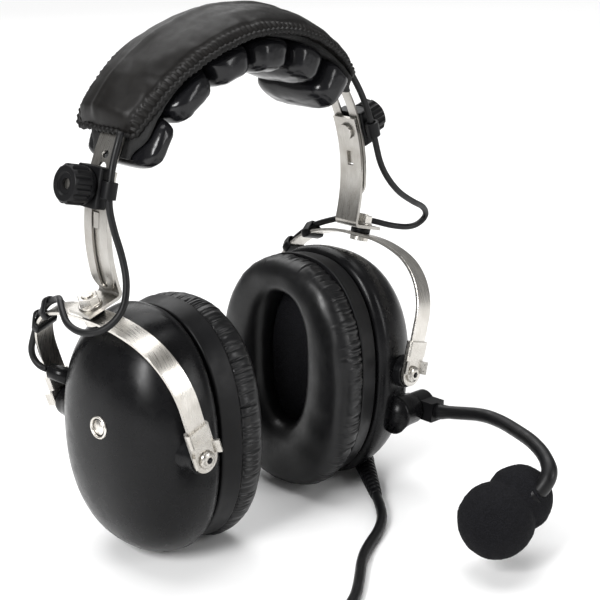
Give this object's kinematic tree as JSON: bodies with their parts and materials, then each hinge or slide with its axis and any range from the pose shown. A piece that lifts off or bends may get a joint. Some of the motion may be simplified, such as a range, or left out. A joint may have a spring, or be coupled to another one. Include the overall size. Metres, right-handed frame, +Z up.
{
  "type": "aviation headset",
  "caption": "Passive aviation headset with a padded spring band, sliding adjusters, tilting oval ear cups on stirrups, a boom microphone and a down-lead.",
  "frame": {"origin": "on the table, midway between the two ear cups and under the middle of the spring band", "axes": "+Z up as the headset stands on its cups; the wearer faces -Y; +X is the wearer's left, the side of the microphone"},
  "size_m": [0.2342, 0.2782, 0.2334],
  "materials": {
    "brushed_steel": "brushed stainless spring steel",
    "dome_plastic": "satin moulded plastic",
    "rim_plastic": "satin moulded plastic",
    "black_plastic": "fine textured black plastic",
    "cushion_vinyl": "soft black leatherette",
    "pad_leatherette": "brown-black leatherette",
    "lining_cloth": "coarse black cloth",
    "cell_vinyl": "glossy soft vinyl",
    "foam": "open cell foam",
    "cable_jacket": "soft black cable jacket",
    "driver_metal": "painted steel can",
    "badge_metal": "satin aluminium",
    "plug_metal": "turned brass"
  },
  "bodies": {
    "headband": {"spring_band": "brushed_steel", "pad_cover": "pad_leatherette", "pad_lining": "lining_cloth", "pad_cells": "cell_vinyl"},
    "left_adjuster": {"left_hanger": "brushed_steel", "left_clamp_stud": "brushed_steel", "left_clamp_block": "black_plastic", "left_cable_clip": "black_plastic", "left_swivel_bolt": "brushed_steel", "left_swivel_nut": "brushed_steel", "left_link_cable": "cable_jacket"},
    "left_knob": {"left_clamp_knob": "black_plastic"},
    "left_yoke": {"left_stirrup": "brushed_steel", "left_swivel_spacer": "black_plastic", "left_pivot_clips": "brushed_steel", "left_cord_clips": "black_plastic"},
    "left_cup": {"left_dome": "dome_plastic", "left_pivot_screws": "brushed_steel", "left_rim_ring": "rim_plastic", "left_ear_cushion": "cushion_vinyl", "left_baffle": "black_plastic", "left_driver": "driver_metal", "left_acoustic_foam": "foam", "left_badge": "badge_metal", "boom_spindle": "brushed_steel", "strain_relief": "black_plastic", "main_cord": "cable_jacket", "cord_coil": "cable_jacket", "cord_tie": "black_plastic", "cord_end": "cable_jacket", "y_junction": "black_plastic", "mic_tail": "cable_jacket", "phone_tail": "cable_jacket", "plug_shells": "black_plastic", "plug_pins": "plug_metal"},
    "right_adjuster": {"right_hanger": "brushed_steel", "right_clamp_stud": "brushed_steel", "right_clamp_block": "black_plastic", "right_cable_clip": "black_plastic", "right_swivel_bolt": "brushed_steel", "right_swivel_nut": "brushed_steel", "right_link_cable": "cable_jacket"},
    "right_knob": {"right_clamp_knob": "black_plastic"},
    "right_yoke": {"right_stirrup": "brushed_steel", "right_swivel_spacer": "black_plastic", "right_pivot_clips": "brushed_steel", "right_cord_clips": "black_plastic"},
    "right_cup": {"right_dome": "dome_plastic", "right_pivot_screws": "brushed_steel", "right_rim_ring": "rim_plastic", "right_ear_cushion": "cushion_vinyl", "right_baffle": "black_plastic", "right_driver": "driver_metal", "right_acoustic_foam": "foam", "right_badge": "badge_metal"},
    "boom": {"boom_turret": "black_plastic", "gooseneck": "cable_jacket", "mic_capsule": "black_plastic", "mic_muff": "foam"}
  },
  "joints": [
    {"name": "left_height", "type": "hinge", "parent": "headband", "child": "left_adjuster", "pos_m": [0, 0, 0.147], "axis": [0, 1, 0], "range_deg": [-8.2, 9], "deforming": ["left_link_cable"]},
    {"name": "left_clamp_turn", "type": "hinge", "parent": "left_adjuster", "child": "left_knob", "pos_m": [0, 0, 0.147], "axis": [0.9641, 0, 0.2656], "continuous": true},
    {"name": "left_swivel", "type": "hinge", "parent": "left_adjuster", "child": "left_yoke", "pos_m": [0.0645, 0, 0.059], "axis": [0.284, 0, 0.9588], "range_deg": [-20, 20]},
    {"name": "left_tilt", "type": "hinge", "parent": "left_yoke", "child": "left_cup", "pos_m": [0.0645, 0, 0.059], "axis": [0, -1, 0], "range_deg": [-10, 10]},
    {"name": "right_height", "type": "hinge", "parent": "headband", "child": "right_adjuster", "pos_m": [0, 0, 0.147], "axis": [0, -1, 0], "range_deg": [0, 9], "deforming": ["right_link_cable"]},
    {"name": "right_clamp_turn", "type": "hinge", "parent": "right_adjuster", "child": "right_knob", "pos_m": [0, 0, 0.147], "axis": [-0.9641, 0, 0.2656], "continuous": true},
    {"name": "right_swivel", "type": "hinge", "parent": "right_adjuster", "child": "right_yoke", "pos_m": [-0.0645, 0, 0.059], "axis": [-0.284, 0, 0.9588], "range_deg": [-20, 20]},
    {"name": "right_tilt", "type": "hinge", "parent": "right_yoke", "child": "right_cup", "pos_m": [-0.0645, 0, 0.059], "axis": [0, 1, 0], "range_deg": [-10, 10]},
    {"name": "boom_swing", "type": "hinge", "parent": "left_cup", "child": "boom", "pos_m": [0.07301, -0.041, 0.03749], "axis": [-0.9984, 0, 0.0558], "range_deg": [-25, 65]}
  ]
}
